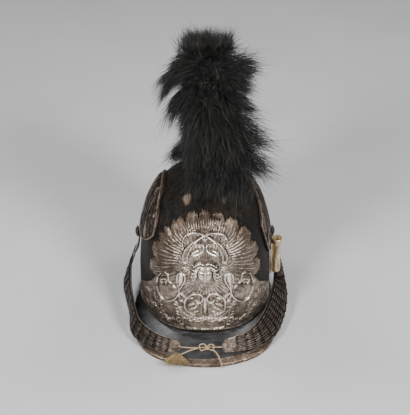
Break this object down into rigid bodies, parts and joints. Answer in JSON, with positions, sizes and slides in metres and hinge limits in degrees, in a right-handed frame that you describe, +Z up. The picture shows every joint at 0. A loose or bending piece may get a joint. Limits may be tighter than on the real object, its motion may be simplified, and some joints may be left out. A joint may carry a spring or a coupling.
{
  "type": "cavalry helmet",
  "caption": "Tall black leather cavalry helmet with a peak, sunburst front plate, tied chin scales, plume socket and a high fur crest.",
  "frame": {"origin": "middle of the bounding box without the free cord ends, on the surface that the rim and neck guard stand on", "axes": "+Z up through the crest, -Y the way the front plate and peak face, +X the wearer's left"},
  "size_m": [0.2502, 0.3363, 0.4303],
  "materials": {
    "leather": "worn satin",
    "silvered": "worn silvering, tarnished",
    "bronzed": "dark tarnish with bare edges",
    "brass": "dull",
    "fur": "deep fur",
    "cord": "twisted string"
  },
  "bodies": {
    "root": {"skull": "leather", "front_peak": "leather", "neck_guard": "leather", "chin_strap_left": "leather", "chin_strap_right": "leather", "peak_rim": "silvered", "front_plate": "silvered", "strap_tip_left": "silvered", "strap_tip_right": "silvered", "side_plate_left": "bronzed", "side_plate_right": "bronzed", "strap_boss_left": "bronzed", "strap_boss_right": "bronzed", "plume_socket": "brass", "fur_crest": "fur", "tie_cord": "cord", "tie_end_left": "cord", "tie_end_right": "cord", "tie_tuft": "cord", "chin_scale_left_01": "bronzed", "chin_scale_left_02": "bronzed", "chin_scale_left_03": "bronzed", "chin_scale_left_04": "bronzed", "chin_scale_left_05": "bronzed", "chin_scale_left_06": "bronzed", "chin_scale_left_07": "bronzed", "chin_scale_left_08": "bronzed", "chin_scale_left_09": "bronzed", "chin_scale_left_10": "bronzed", "chin_scale_left_11": "bronzed", "chin_scale_left_12": "bronzed", "chin_scale_left_13": "bronzed", "chin_scale_left_14": "bronzed", "chin_scale_left_15": "bronzed", "chin_scale_left_16": "bronzed", "chin_scale_right_01": "bronzed", "chin_scale_right_02": "bronzed", "chin_scale_right_03": "bronzed", "chin_scale_right_04": "bronzed", "chin_scale_right_05": "bronzed", "chin_scale_right_06": "bronzed", "chin_scale_right_07": "bronzed", "chin_scale_right_08": "bronzed", "chin_scale_right_09": "bronzed", "chin_scale_right_10": "bronzed", "chin_scale_right_11": "bronzed", "chin_scale_right_12": "bronzed", "chin_scale_right_13": "bronzed", "chin_scale_right_14": "bronzed", "chin_scale_right_15": "bronzed", "chin_scale_right_16": "bronzed"}
  },
  "joints": []
}
